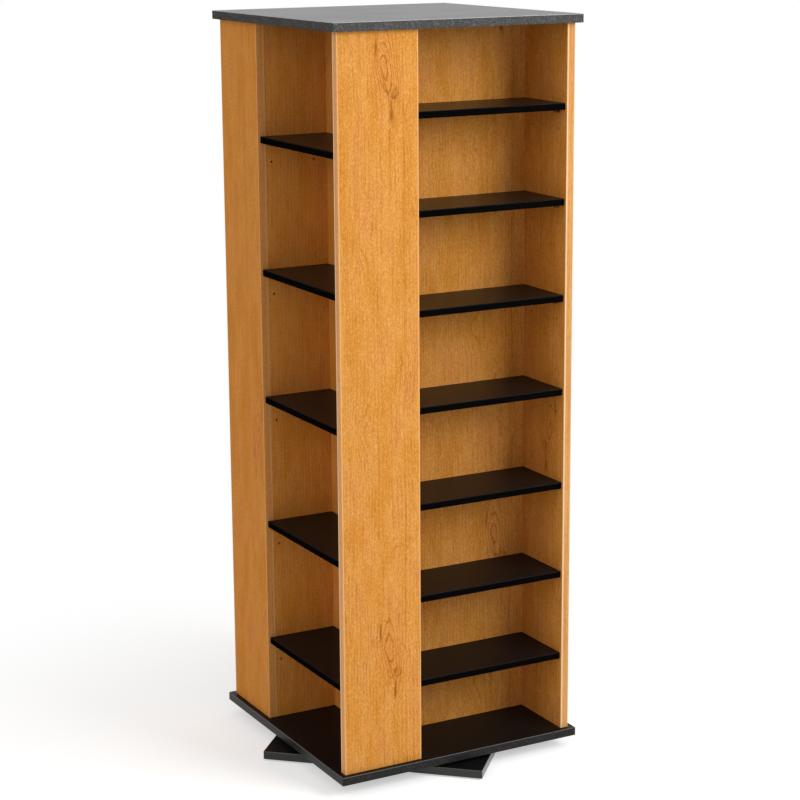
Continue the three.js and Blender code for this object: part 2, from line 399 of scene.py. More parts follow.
def oak_marks(shake, side, lap, level, broken):
    """How dark the knot, the strokes round it and the long vein make each point.

    The knot is a ring: a soft crest where the distance from its middle, over its radius, is one.
    """
    wobble, burr = shake["wobble"], shake["burr"]
    across = (side - KNOT_PLACE + wobble * (9 * MM) + burr * (4 * MM)) / KNOT_HALF_WIDTH
    along = (lap - wobble * (10 * MM) + burr * (4 * MM)) / KNOT_HALF_HEIGHT
    eye = (across ** 2 + along ** 2).root()
    ring = bell((eye - 1) / RING_WIDTH) * (0.66 + wobble * 2.6 + burr * 1.6)
    heart = bell((eye - HEART_RADIUS) / HEART_WIDTH) * (0.35 + burr * 1.6)
    fleck = spot(side + burr * (3 * MM), lap, FLECK)
    streak = spot(side + wobble * (6 * MM) + burr * (3 * MM), lap, STREAK)
    root = spot(side + (lap - ROOT[1]) * ROOT_LEAN + wobble * (4 * MM), lap, ROOT)
    tail = spot(side + wobble * (5 * MM), lap, TAIL)
    vein = bell((side - VEIN_PLACE - shake["drift"] * (6 * MM)) / VEIN_HALF_WIDTH)
    vein = vein * (1 - level) * (broken * 0.4 + 0.2)
    return ring + heart + fleck * 1.4 + streak * 1.15 + root * 0.7 + tail * 0.75 + vein * 0.9


def oak(name, across_axis, middle, rim_highlight_shown, figure_at, seed, rise, depth_and_shade):
    """Printed oak: upright growth lines, drawn into long loops round a figure that comes back each metre.

    Side is the distance from the figure's axis and lap the height from its knot, both a little shaken.
    Depth_and_shade deepens and warms the sheet, on the left panel as painted shade; rim_highlight_shown
    sets its painted edge highlight.
    """
    g = Graph(name)
    across = (g.x, g.y)[across_axis] - middle
    shake = {key: noise - 0.5 for key, noise in g.noises(OAK_SHAKES, seed, FACE_SEED_STEP).items()}
    grain = g.noises(OAK_GRAINS, seed, FACE_SEED_STEP)
    fibre, speck = grain["fibre"], grain["speck"]
    broken = g.ramp(grain["breaks"], 0.36, 0.62)
    pores = g.ramp(grain["pores"], 0.54, 0.68)
    dashes = g.ramp(grain["dashes"], 0.57, 0.70)
    side = across - figure_at + shake["sway"] * SWAY + shake["quiver"] * QUIVER_ACROSS
    lap = lap_from(g.z, KNOT_LEVEL + rise) + shake["quiver"] * QUIVER_ALONG
    level = bell((lap - FIGURE_LEVEL) / FIGURE_REACH)
    late, near, far = oak_lines(g, shake, side, lap, level)
    dark = oak_marks(shake, side, lap, level, broken)
    calm = 1 - depth_and_shade * 0.5
    colour = g.layers(
        OAK_BODY,
        (g.ramp(grain["patch"], 0.34, 0.60), OAK_PALE),
        (g.ramp(grain["patch"], 0.52, 0.70) * 0.6, OAK_ROSE),
        ((near * 0.5).clip(), OAK_ROSE),
        (g.ramp(grain["band"], 0.46, 0.70) * 0.16, OAK_GRAIN),
        (g.ramp(fibre, 0.46, 0.74) * 0.24, OAK_GRAIN),
        ((late * (broken * 0.42 + 0.14 + near * 0.75 + far) * calm).clip(), OAK_GRAIN),
        ((late * near * 0.26 * calm).clip(), OAK_KNOT),
        (g.ramp(speck, 0.46, 0.66) * 0.42, OAK_GRAIN),
        ((1 - g.ramp(speck, 0.32, 0.48)) * 0.38, OAK_PALE_SPECK_AND_HIGHLIGHT),
        (pores * 0.24, OAK_GRAIN),
        (dashes * broken * 0.28, OAK_KNOT),
        (dark.clip() * 0.76 * calm, OAK_KNOT),
    )
    # Deepens and warms the sheet; on the left panel this is painted shade
    colour = g.blend(depth_and_shade, colour, OAK_DEPTH_AND_SHADE, "MULTIPLY")
    # Painted highlight along the upright arrises
    colour = g.blend(g.ramp(abs(across), *RIM_HIGHLIGHT_LINE) * rim_highlight_shown, colour, OAK_PALE_SPECK_AND_HIGHLIGHT)
    roughness = 0.46 + fibre * 0.10 + pores * 0.08
    normal = g.bump(fibre * 0.5 - pores * 0.8 - late * 0.1, 0.06 * MM, 0.7)
    return g.finish(colour, roughness, normal, Specular_IOR_Level=0.04)


def oak_band(name, seed, pale, rose, edge_highlight, across_axis, front):
    """Edge band: the oak print in narrow straight lines, paler and a little pinker than the faces.

    The depth is the distance from the front face. Both long edges and the marked arris carry painted
    highlights.
    """
    g = Graph(name)
    grain = g.noises(BAND_GRAINS, seed, BAND_SEED_STEP)
    fibre = grain["fibre"]
    depth = abs((g.x, g.y)[across_axis] - front)
    colour = g.layers(
        pale,
        (g.ramp(grain["streak"], 0.36, 0.66), rose),
        (g.ramp(fibre, 0.5, 0.75) * 0.4, BAND_FIBRE),
        (g.ramp(grain["fleck"], 0.50, 0.66) * 0.45, BAND_FLECK),
        # Painted highlights along both long edges and the marked arris
        (g.ramp(depth, *HIGHLIGHT_BACK) * edge_highlight, BAND_HIGHLIGHT),
        ((1 - g.ramp(depth, *HIGHLIGHT_FRONT)) * 0.45 * edge_highlight, BAND_HIGHLIGHT),
        (g.attribute("arris") * edge_highlight * 0.9, BAND_HIGHLIGHT),
    )
    normal = g.bump(fibre, 0.05 * MM, 0.6)
    return g.finish(colour, 0.40 + fibre * 0.12, normal, Specular_IOR_Level=0.15)


# Other finishes

LAMINATE_SPECK = srgb(38, 38, 40)
ZINC_DULL = srgb(184, 188, 193)
ZINC_BRIGHT = srgb(205, 208, 211)
STEEL_CLEAN = srgb(205, 207, 210)
STEEL_GREASED = srgb(178, 172, 158)
BRONZE_BROWN = srgb(84, 50, 34)
BRONZE_WORN = srgb(170, 128, 96)
PLASTIC_BLACK = srgb(30, 30, 31)
PLASTIC_SCUFFED = srgb(74, 73, 72)

# The greys, from 0 to 255, of each laminate's clouds, and how strongly it mirrors
LAMINATES = {
    "black_laminate": {"low": 15, "high": 23, "sheen": 0.06},
    "top_laminate": {"low": 14, "high": 21, "sheen": 0.3},
}

# The same for each board's edge band, with the greys of its specks and of its arrises' wear and painted
# highlight, and how rough it is
BOARD_BANDS = {
    # The top band's greys are lifted, with no sheen, partly as painted sheen
    "top_edge_band_painted_sheen": {"low": 66, "high": 83, "speckle": 142, "arris_wear_and_highlight": 250, "rough": 0.34, "sheen": 0.0},
    "bottom_edge_band": {"low": 28, "high": 38, "speckle": 74, "arris_wear_and_highlight": 140, "rough": 0.30, "sheen": 0.12},
    "base_edge_band": {"low": 18, "high": 26, "speckle": 44, "arris_wear_and_highlight": 96, "rough": 0.10, "sheen": 0.5},
    # The shelves' band is darker partly as painted shade
    "shelf_edge_band_painted_shade": {"low": 6, "high": 10, "speckle": 16, "arris_wear_and_highlight": 48, "rough": 0.38, "sheen": 0.0},
}


def grey(level, blue=0):
    """A grey from 0 to 255, a little bluer if asked."""
    return srgb(level, level, level + blue)


def black_laminate(name, low, high, sheen):
    """Black laminate: fine pebble grain with a dull broad shine, and faint clouds that lift its colour."""
    g = Graph(name)
    pebble = g.noise(g.place, scale=900.0)
    cloud = g.noise(g.place, scale=6.0, detail=3.0, roughness=0.55)
    speck = g.ramp(g.noise(g.place, scale=420.0, detail=1.0), 0.58, 0.74)
    colour = g.layers(grey(low, 1), (cloud, grey(high, 1)), (speck * 0.4, LAMINATE_SPECK))
    roughness = 0.22 + cloud * 0.08 + pebble * 0.12
    return g.finish(colour, roughness, g.bump(pebble, 0.1 * MM, 0.45), Specular_IOR_Level=sheen)


def black_band(name, low, high, speckle, arris_wear_and_highlight, rough, sheen):
    """Edge band of a black board: fine drag lines, a grain of paler specks, and arrises paler with wear and
    a painted highlight.
    """
    g = Graph(name)
    drag = g.noise(g.stretched((8, 8, 1200)))
    grain = g.noise(g.place, scale=470.0, detail=3.0, roughness=0.65)
    cloud = g.noise(g.place, scale=7.0)
    rub = g.ramp(grain, 0.48, 0.70)
    colour = g.layers(
        grey(low), (cloud, grey(high)), (rub * 0.55, grey(speckle)),
        # Painted highlight and wear along the marked upper arris
        (g.attribute("arris") * (0.7 + rub * 0.3), grey(arris_wear_and_highlight)),
    )
    normal = g.bump(drag * 0.6 + grain, 0.1 * MM, 0.5)
    return g.finish(colour, rough + drag * 0.12, normal, Specular_IOR_Level=sheen)


def zinc_steel(name):
    """Pressed steel with bright zinc: broad crystals that tilt the shine, over fine rolling lines."""
    g = Graph(name)
    crystal = g.node("ShaderNodeTexVoronoi", None, {"Vector": g.place, "Scale": 160.0}, "Color")
    tone = g.node("ShaderNodeSeparateColor", None, {0: crystal})
    roll = g.noise(g.stretched((40, 1800, 40)))
    colour = g.blend(tone, ZINC_DULL, ZINC_BRIGHT)
    roughness = 0.28 + tone * 0.09 + roll * 0.08
    return g.finish(colour, roughness, g.bump(roll, 0.03 * MM, 0.5), Metallic=0.95)


def ball_steel(name):
    """Polished bearing steel with a faint film of grease that clouds the shine."""
    g = Graph(name)
    film = g.noise(g.place, scale=300.0, detail=3.0, roughness=0.6)
    colour = g.blend(film, STEEL_CLEAN, STEEL_GREASED)
    return g.finish(colour, 0.10 + film * 0.22, g.bump(film, 0.02 * MM, 0.4), Metallic=1.0)


def pin_bronze(name):
    """Shelf pins: brown bronze plating, rubbed brighter in soft patches."""
    g = Graph(name)
    wear = g.ramp(g.noise(g.place, scale=420.0, detail=3.0, roughness=0.6), 0.42, 0.7)
    fine = g.noise(g.place, scale=2600.0)
    colour = g.blend(wear, BRONZE_BROWN, BRONZE_WORN)
    return g.finish(colour, 0.26 + fine * 0.18, g.bump(fine, 0.03 * MM, 0.5), Metallic=0.85)


def glide_plastic(name):
    """Moulded black plastic: matt grain, scuffed paler where it slides."""
    g = Graph(name)
    grain = g.noise(g.place, scale=1600.0)
    scratches = g.noise(g.stretched((60, 900, 60)), detail=3.0, roughness=0.6)
    scuff = g.ramp(scratches, 0.5, 0.75)
    colour = g.blend(scuff * 0.5, PLASTIC_BLACK, PLASTIC_SCUFFED)
    return g.finish(colour, 0.5 + grain * 0.2, g.bump(grain, 0.08 * MM, 0.5))


# Meshes

def grid_faces(rows, columns, closed=False):
    """Quads between neighbouring points of a grid numbered row by row, whose last column joins the first.

    In a closed grid the last row joins the first too.
    """
    row = np.arange(rows if closed else rows - 1)[:, None]
    column = np.arange(columns)[None, :]
    above, beside = (row + 1) % rows, (column + 1) % columns
    corners = [
        row * columns + column, row * columns + beside,
        above * columns + beside, above * columns + column,
    ]
    return np.stack(corners, axis=-1).reshape(-1, 4)


def piece(name, points, faces, body, materials, smooth=None, paint=None, arris=None):
    """A mesh object at the origin that rides on a body.

    Smooth gives the faces their shading, one by one or all at once, and paint gives each its material;
    arris says how much each point lies on the marked arris, which carries wear and a painted highlight.
    """
    mesh = bpy.data.meshes.new(name)
    mesh.from_pydata(np.asarray(points).reshape(-1, 3).tolist(), [], [list(face) for face in faces])
    for material in materials:
        mesh.materials.append(material)
    if smooth is not None:
        mesh.polygons.foreach_set("use_smooth", np.full(len(faces), smooth, dtype=bool))
    if paint is not None:
        mesh.polygons.foreach_set("material_index", np.asarray(paint, dtype=np.int32))
    if arris is not None:
        arris_wear_and_highlight = mesh.attributes.new("arris", "FLOAT", "POINT")
        arris_wear_and_highlight.data.foreach_set("value", np.asarray(arris, dtype=np.float32))
    mesh.update()
    made = bpy.data.objects.new(name, mesh)
    bpy.context.scene.collection.objects.link(made)
    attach(made, body)
    return made


def turned(points, angle):
    """Points turned about the upright axis through the origin."""
    cosine, sine = math.cos(angle), math.sin(angle)
    x, y, z = np.moveaxis(np.asarray(points), -1, 0)
    return np.stack([x * cosine - y * sine, x * sine + y * cosine, z], axis=-1)


def rim(half_x, half_y, corner):
    """The corner centres and outward directions round a rectangle with round corners."""
    steps = np.linspace(0, math.pi / 2, ARC_STEPS + 1)
    angles = (np.arange(4)[:, None] * math.pi / 2 + steps).ravel()
    signs = np.repeat(np.array([[1, 1], [-1, 1], [-1, -1], [1, -1]]), ARC_STEPS + 1, axis=0)
    centres = signs * np.array([half_x - corner, half_y - corner])
    return centres, np.stack([np.cos(angles), np.sin(angles)], axis=-1)


def board_shape(low, high, corner, edge):
    """Points and faces of a board with round corners in plan and rounded arrises.

    The side's profile goes from an inset of one edge radius at the bottom, round a quarter circle,
    up the side and round another to the same inset at the top; it is carried round the rim.
    Only the upper arris is marked, most where it slopes by 45 degrees; the mark carries wear and a painted
    highlight.
    """
    low, high = np.array(low), np.array(high)
    middle = (low + high) / 2
    centres, outward = rim((high[0] - low[0]) / 2, (high[1] - low[1]) / 2, corner)
    bend = np.linspace(0, math.pi / 2, ARC_STEPS + 1)
    inset = np.concatenate([1 - np.sin(bend), 1 - np.cos(bend)]) * edge
    bottom, top = low[2] + (1 - np.cos(bend)) * edge, high[2] - (1 - np.sin(bend)) * edge
    level = np.concatenate([bottom, top])
    flat = centres[None] + outward[None] * (corner - inset)[:, None, None]
    upright = np.broadcast_to(level[:, None, None], flat.shape[:2] + (1,))
    points = np.concatenate([flat + middle[:2], upright], axis=-1)
    rows, columns = points.shape[:2]
    sides = grid_faces(rows, columns)
    under = list(range(columns))[::-1]
    over = [(rows - 1) * columns + k for k in range(columns)]
    row_of, column_of = np.divmod(np.arange(len(sides)), columns)
    bent = (row_of != ARC_STEPS) | (column_of % (ARC_STEPS + 1) != ARC_STEPS)
    smooth = np.append(bent, [False, False])
    paint = np.append(np.ones(len(sides), int), [0, 0])
    # The mark for wear and painted highlight on the upper arris
    arris = np.repeat(np.concatenate([np.zeros(len(bend)), np.sin(2 * bend)]), columns)
    return points.reshape(-1, 3), sides.tolist() + [under, over], smooth, paint, arris


def board(name, low, high, corner, edge, angle, body, materials):
    """A board turned about the tower's upright axis; with one material it is all of that material."""
    points, faces, smooth, paint, arris = board_shape(low, high, corner, edge)
    if len(materials) == 1:
        paint = None
    return piece(name, turned(points, angle), faces, body, materials, smooth, paint, arris)


# Big black boards

def big_boards(top_finish, bottom_finish, base_finish):
    """Top, bottom and base boards with eased arrises, in the place of their plain ones.

    Each finish is the material of the board's faces and that of its banded edges.
    """
    for node, finish in (("top_board", top_finish), ("bottom_board", bottom_finish)):
        low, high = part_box(node)
        made = board(
            node + "_eased", low, high, BOARD_CORNER, BOARD_EDGE,
            0, "tower", finish,
        )
        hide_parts(node)
    low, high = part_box("base_board")
    half = BASE_SIDE / 2
    made = board(
        "base_board_eased", (-half, -half, low.z), (half, half, high.z),
        BOARD_CORNER, BOARD_EDGE, BASE_TURN, "base", base_finish,
    )
    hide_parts("base_board")


# Shelves, pins and bands are laid out for the front side and turned to the others

def side_angle(side):
    """How far a side is turned from the front, anticlockwise from above."""
    return SIDES.index(side) * math.pi / 2


def front_box(node, side):
    """A node's box, turned back to where the front side has that piece."""
    low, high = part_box(node)
    corners = turned(np.array([low, high]), -side_angle(side))
    return corners.min(0), corners.max(0)


def shelves(side, face, edge):
    """A side's shelves with eased and banded edges, in the place of their plain ones."""
    for number in range(1, SHELVES[side] + 1):
        node = f"shelf_{side}_{number}"
        low, high = front_box(node, side)
        made = board(
            node + "_banded", low, high, SHELF_EDGE, SHELF_EDGE,
            side_angle(side), "tower", [face, edge],
        )
        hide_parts(node)


PIN_SKIN = 0.12 * MM
PIN_COLLAR = 0.8 * MM
PIN_TIP = 0.8 * MM
PIN_FACETS = 12


def pin_shape(wall, inward, depth, top):
    """A shelf pin: flat on top and round below, with a thin collar at the wall and a rounded tip.

    Each station along the pin grows or shrinks one outline: a half circle closed by a flat top.
    """
    angles = np.linspace(math.pi, 2 * math.pi, PIN_FACETS + 1)
    flat = [1, 0.5, -0.5, -1]
    y = np.concatenate([np.cos(angles), flat])
    z = np.concatenate([np.sin(angles), np.zeros(len(flat))])
    on_top = np.concatenate([np.zeros(len(angles)), np.ones(len(flat))])
    tip = np.linspace(0, math.pi / 2, ARC_STEPS + 1)[1:]
    reach = PIN_REACH + PIN_SKIN
    along = np.concatenate([
        [0, PIN_COLLAR * 0.7, PIN_COLLAR, PIN_COLLAR],
        [reach - PIN_TIP], reach - PIN_TIP + PIN_TIP * np.sin(tip),
    ])
    grow = np.concatenate([
        [PIN_COLLAR, PIN_COLLAR, PIN_COLLAR * 0.6, PIN_SKIN],
        [PIN_SKIN], PIN_SKIN - PIN_TIP * (1 - np.cos(tip)),
    ])
    radius = PIN_RADIUS + grow[:, None]
    lift = np.minimum(grow, PIN_SKIN)[:, None]
    across = depth + y[None] * radius
    height = top - PIN_SHOULDER + z[None] * radius + on_top[None] * (PIN_SHOULDER + lift)
    outward = np.broadcast_to(wall + inward * along[:, None], across.shape)
    points = np.stack([outward, across, height], axis=-1)
    rows, columns = points.shape[:2]
    faces = list(map(list, grid_faces(rows, columns)))
    faces += [list(range(columns))[::-1], [(rows - 1) * columns + k for k in range(columns)]]
    if inward < 0:
        faces = [face[::-1] for face in faces]
    return points.reshape(-1, 3), faces


def joined(shapes):
    """Several shapes as one list of points and one of faces."""
    points, faces, count = [], [], 0
    for shape_points, shape_faces in shapes:
        points.append(shape_points)
        faces += [[index + count for index in face] for face in shape_faces]
        count += len(shape_points)
    return np.concatenate(points), faces


def shelf_pins(side, bronze):
    """Four pins under each shelf, over the plain ones that the panels carry."""
    panel_low, panel_high = front_box("side_panel_" + side, side)
    left_wall = panel_high[0]
    right_wall = -panel_low[0] - PANEL_THICKNESS
    front = panel_low[1]
    back = left_wall - PANEL_THICKNESS
    for number in range(1, SHELVES[side] + 1):
        low, _ = front_box(f"shelf_{side}_{number}", side)
        top = low[2] - PIN_SEAT_GAP
        shapes = []
        for depth in (front + PIN_INSET, back - PIN_INSET):
            shapes.append(pin_shape(left_wall, 1, depth, top))
            shapes.append(pin_shape(right_wall, -1, depth, top))
        points, faces = joined(shapes)
        points = turned(points, side_angle(side))
        name = f"shelf_pins_{side}_{number}"
        piece(name, points, faces, "tower", [bronze])


def edge_bands(side, band):
    """The two upright edge bands of a side's wide panel: one on the corner, one beside the bay."""
    low, high = front_box("side_panel_" + side, side)
    front = low[1]
    back = front + PANEL_THICKNESS
    for name, left in (("corner", low[0] - BAND_THICKNESS), ("bay", high[0])):
        board(
            f"edge_band_{side}_{name}",
            (left, front, low[2]), (left + BAND_THICKNESS, back, high[2]),
            BAND_EDGE, BAND_EDGE, side_angle(side), "tower", [band],
        )


# Turntable, screws and glides

def paint_node(node, material):
    """Gives a part of the frame one material all over."""
    slots = frame["nodes"][node].data.materials
    slots.clear()
    slots.append(material)


def eased(corners, reach, steps=4):
    """A closed profile with rounded corners: each is a parabola between two points near the corner.

    A cut point lies the reach away from its corner, or a little under half of the way to the next.
    """
    corners = np.array(corners, dtype=float)
    share = np.linspace(0, 1, steps)[:, None]
    points = []
    for before, corner, after in zip(np.roll(corners, 1, 0), corners, np.roll(corners, -1, 0)):
        cuts = []
        for other in (before, after):
            away = other - corner
            length = math.hypot(away[0], away[1])
            cuts.append(corner + away * min(reach / length, 0.45))
        first, second = cuts
        points.append((1 - share) ** 2 * first + 2 * share * (1 - share) * corner + share ** 2 * second)
    return np.concatenate(points)


def square_reach(angles, side, corner):
    """How far a square with round corners reaches from its middle in each direction."""
    folded = np.abs((angles + math.pi / 4) % (math.pi / 2) - math.pi / 4)
    inner = side / 2 - corner
    on_side = side / 2 / np.cos(folded)
    along = inner * (np.cos(folded) + np.sin(folded))
    on_corner = along + np.sqrt(np.maximum(along ** 2 - 2 * inner ** 2 + corner ** 2, 0))
    return np.where(side / 2 * np.tan(folded) <= inner, on_side, on_corner)


def lathe_shape(profile, facets, square=None):
    """A closed profile of radius, height and squareness carried round the upright axis.

    Where squareness is 1 the radius counts from the outline of the square instead of from the axis.
    """
    profile = np.asarray(profile, dtype=float)
    angles = np.arange(facets) / facets * 2 * math.pi
    radius = np.repeat(profile[:, :1], facets, axis=1)
    if square is not None:
        radius = radius + profile[:, 2:] * square_reach(angles, *square)
    x = radius * np.cos(angles)
    y = radius * np.sin(angles)
    z = np.broadcast_to(profile[:, 1:2], x.shape)
    points = np.stack([x, y, z], axis=-1)
    rows, columns = points.shape[:2]
    return points.reshape(-1, 3), grid_faces(rows, columns, closed=True).tolist()


def race_beads(face, rise):
    """The two beads that keep the balls on their track, outwards from the hub."""
    inner = RACE_RADIUS - RACE_HALF
    outer = RACE_RADIUS + RACE_HALF
    return [
        (inner - BEAD_WIDTH, face, 0), (inner - BEAD_WIDTH / 2, face + rise, 0), (inner, face, 0),
        (outer, face, 0), (outer + BEAD_WIDTH / 2, face + rise, 0), (outer + BEAD_WIDTH, face, 0),
    ]


PLATE_FACETS = 240
PLATE_EASE = 0.35 * MM


def plates(zinc):
    """The two pressed plates: the lower one's hub is rolled out over the upper one's inner flange."""
    floor_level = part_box("turntable_lower_plate")[0].z
    hub = HUB_RADIUS + PLATE_THICKNESS
    lip = hub + LIP_REACH
    lip_top = TURNTABLE_HEIGHT - RUNNING_GAP
    lip_low = lip_top - PLATE_THICKNESS
    face = PLATE_THICKNESS
    lower = [
        (HUB_RADIUS, 0, 0), (0, 0, 1), (0, face, 1), *race_beads(face, BEAD_HEIGHT)[::-1],
        (hub, face, 0), (hub, lip_low, 0), (lip, lip_low, 0), (lip, lip_top, 0), (HUB_RADIUS, lip_top, 0),
    ]
    face = TURNTABLE_HEIGHT - PLATE_THICKNESS
    inner = hub + HUB_GAP
    outer = inner + LIP_REACH
    flange_top = face - 2 * RUNNING_GAP
    flange_low = flange_top - PLATE_THICKNESS
    upper = [
        (inner, flange_low, 0), (outer + PLATE_THICKNESS, flange_low, 0),
        (outer + PLATE_THICKNESS + FLANGE_SLOPE, face, 0), *race_beads(face, -BEAD_HEIGHT),
        (0, face, 1), (0, TURNTABLE_HEIGHT, 1), (outer + FLANGE_SLOPE, TURNTABLE_HEIGHT, 0),
        (outer, flange_top, 0), (inner, flange_top, 0),
    ]
    for name, body, profile, angle in (("lower", "base", lower, BASE_TURN), ("upper", "tower", upper, 0)):
        square = (PLATE_SIDE, PLATE_CORNER)
        points, faces = lathe_shape(eased(profile, PLATE_EASE), PLATE_FACETS, square)
        points = turned(points, angle) + [0, 0, floor_level]
        node = f"turntable_{name}_plate"
        made = piece(node + "_pressed", points, faces, body, [zinc], smooth=True)
        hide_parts(node)


def ball_shape(radius, columns=24, bands=12):
    """A sphere: circles from pole to pole whose radius is the sine of the angle from the pole."""
    turn = np.linspace(0, math.pi, bands + 1)[1:-1]
    angles = np.arange(columns) / columns * 2 * math.pi
    x = radius * np.sin(turn)[:, None] * np.cos(angles)
    y = radius * np.sin(turn)[:, None] * np.sin(angles)
    z = np.broadcast_to(-radius * np.cos(turn)[:, None], x.shape)
    points = np.stack([x, y, z], axis=-1).reshape(-1, 3)
    last = len(points)
    faces = grid_faces(bands - 1, columns).tolist()
    beside = [(k + 1) % columns for k in range(columns)]
    faces += [[last, beside[k], k] for k in range(columns)]
    top = last - columns
    faces += [[last + 1, top + k, top + beside[k]] for k in range(columns)]
    return np.concatenate([points, [[0, 0, -radius], [0, 0, radius]]]), faces


CAGE_FACETS = 96


def ball_ring(steel):
    """Smooth balls in a thin cage, in the place of the faceted ring, spaced evenly round the race."""
    low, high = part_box("ball_ring")
    middle = (low.z + high.z) / 2
    radius = (high.z - low.z) / 2
    inner = RACE_RADIUS - radius - CAGE_HALF
    outer = RACE_RADIUS + radius + CAGE_HALF
    under, over = middle - CAGE_HALF, middle + CAGE_HALF
    cage = eased([(inner, under), (outer, under), (outer, over), (inner, over)], CAGE_HALF / 2)
    shapes = [lathe_shape(cage, CAGE_FACETS)]
    ball, ball_faces = ball_shape(radius)
    for index in range(BALLS):
        angle = index / BALLS * 2 * math.pi
        place = [RACE_RADIUS * math.cos(angle), RACE_RADIUS * math.sin(angle), middle]
        shapes.append((ball + place, ball_faces))
    points, faces = joined(shapes)
    made = piece("ball_ring_smooth", points, faces, "ball_cage", [steel], smooth=True)
    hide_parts("ball_ring")


SCREW_COLUMNS = 48
SCREW_POINT = 0.2
CROWN_START = 0.12
CROWN_CIRCLES = 12
CROWN_DROP = 0.5 * MM
CROSS_ARM = 0.42 * MM
CROSS_REACH = 2.1 * MM
CROSS_DEPTH = 0.9 * MM


def screw_shape():
    """A pan-head screw, its head's underside at zero and its tip above.

    Circles run from the crown of the head over its rim, along the shank and down to the tip. The crown
    is pressed in where a point is within an arm's width of either axis, which makes the cross recess.
    """
    crown = np.linspace(CROWN_START, 1, CROWN_CIRCLES)
    shank = [SCREW_HEAD, SCREW_SHANK, SCREW_SHANK, SCREW_SHANK * SCREW_POINT]
    radius = np.concatenate([SCREW_HEAD * crown, shank])
    dome = -SCREW_HEAD_HEIGHT + CROWN_DROP * crown ** 4
    level = np.concatenate([dome, [0, 0, SCREW_LENGTH - SCREW_TIP, SCREW_LENGTH]])
    angles = np.arange(SCREW_COLUMNS) / SCREW_COLUMNS * 2 * math.pi
    x = radius[:, None] * np.cos(angles)
    y = radius[:, None] * np.sin(angles)
    arm = np.minimum(np.abs(x), np.abs(y)) < CROSS_ARM
    pressed = arm & (radius[:, None] < CROSS_REACH) & (level[:, None] < 0)
    z = level[:, None] + CROSS_DEPTH * pressed
    points = np.stack([x, y, z], axis=-1)
    rows, columns = points.shape[:2]
    faces = grid_faces(rows, columns).tolist()
    faces += [list(range(columns))[::-1], [(rows - 1) * columns + k for k in range(columns)]]
    return points.reshape(-1, 3), faces


def screws(zinc):
    """Four screws up into the bottom board and four down into the base, over their plain ones."""
    points, faces = screw_shape()
    low_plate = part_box("turntable_lower_plate")[0].z
    for label, body, face, up, angle in (
        ("lower_plate", "base", low_plate + PLATE_THICKNESS, -1, BASE_TURN),
        ("upper_plate", "tower", low_plate + TURNTABLE_HEIGHT - PLATE_THICKNESS, 1, 0),
    ):
        for index, (x, y) in enumerate(CORNERS):
            shape = turned(points * [1, up, up] + [x * SCREW_PLACE, y * SCREW_PLACE, face], angle)
            node = f"{label}_screw_{index + 1}"
            made = piece(node + "_cross", shape, faces, body, [zinc], smooth=True)
            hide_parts(node)


GLIDE_FACETS = 64
GLIDE_EASE = 0.3 * MM
GLIDE_HOLE = 0.3 * MM


def glides(plastic):
    """Round glides with a soft lower rim, in the place of the plain ones."""
    profile = [
        (GLIDE_HOLE, 0), (GLIDE_RADIUS - GLIDE_CHAMFER, 0), (GLIDE_RADIUS, GLIDE_CHAMFER),
        (GLIDE_RADIUS, GLIDE_HEIGHT), (GLIDE_HOLE, GLIDE_HEIGHT),
    ]
    points, faces = lathe_shape(eased(profile, GLIDE_EASE), GLIDE_FACETS)
    for index, (x, y) in enumerate(CORNERS):
        node = f"glide_{index + 1}"
        shape = turned(points + [x * GLIDE_PLACE, y * GLIDE_PLACE, 0], BASE_TURN)
        made = piece(node + "_moulded", shape, faces, "base", [plastic], smooth=True)
        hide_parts(node)


# Where each piece's print lies: the figure's axis from the piece's middle, the seed of its grain, how
# much higher its knot sits, and how much its sheet is deepened and warmed, which on the left panel is
# painted shade
PANEL_FIGURES = {
    "front": (0.013, 1, -0.010, 0.0),
    "right": (-0.030, 2, 0.34, 0.0),
    "back": (0.038, 3, 0.61, 0.3),
    "left": (-0.051, 4, 0.32, 1.0),
}
DIVIDER_FIGURES = {
    "front": (-0.060, 5, 0.42, 0.2),
    "right": (0.085, 6, 0.12, 0.0),
    "back": (-0.020, 7, 0.77, 0.4),
    "left": (0.110, 8, 0.55, 0.3),
}

# The pale and the rosy tone of each panel's edge bands, and how strongly their painted edge highlights show
BAND_TONES = {
    "front": (srgb(247, 178, 110), srgb(239, 164, 100), 0.95),
    "right": (srgb(227, 171, 102), srgb(210, 145, 80), 0.75),
    "back": (srgb(238, 180, 108), srgb(226, 158, 88), 0.5),
    "left": (srgb(236, 172, 98), srgb(226, 156, 86), 0.25),
}


# Stage

def camera():
    """A camera turned by yaw, pitch and slight roll, its lens axis a little above the picture's middle."""
    reach = math.cos(LOOK_PITCH)
    forward = Vector((math.sin(LOOK_YAW) * reach, math.cos(LOOK_YAW) * reach, math.sin(LOOK_PITCH)))
    level = Vector((math.cos(LOOK_YAW), -math.sin(LOOK_YAW), 0))
    rise = level.cross(forward)
    right = level * math.cos(LOOK_ROLL) + rise * math.sin(LOOK_ROLL)
    up = rise * math.cos(LOOK_ROLL) - level * math.sin(LOOK_ROLL)
    data = bpy.data.cameras.new("camera")
    data.sensor_width = SENSOR_MM
    data.lens = FOCAL_PIXELS * SENSOR_MM / IMAGE_PIXELS
    data.shift_y = (AXIS_ROW - IMAGE_PIXELS / 2) / IMAGE_PIXELS
    eye = bpy.data.objects.new("camera", data)
    eye.matrix_world = Matrix((
        (right.x, up.x, -forward.x, EYE.x),
        (right.y, up.y, -forward.y, EYE.y),
        (right.z, up.z, -forward.z, EYE.z),
        (0, 0, 0, 1),
    ))
    bpy.context.scene.collection.objects.link(eye)
    bpy.context.scene.camera = eye


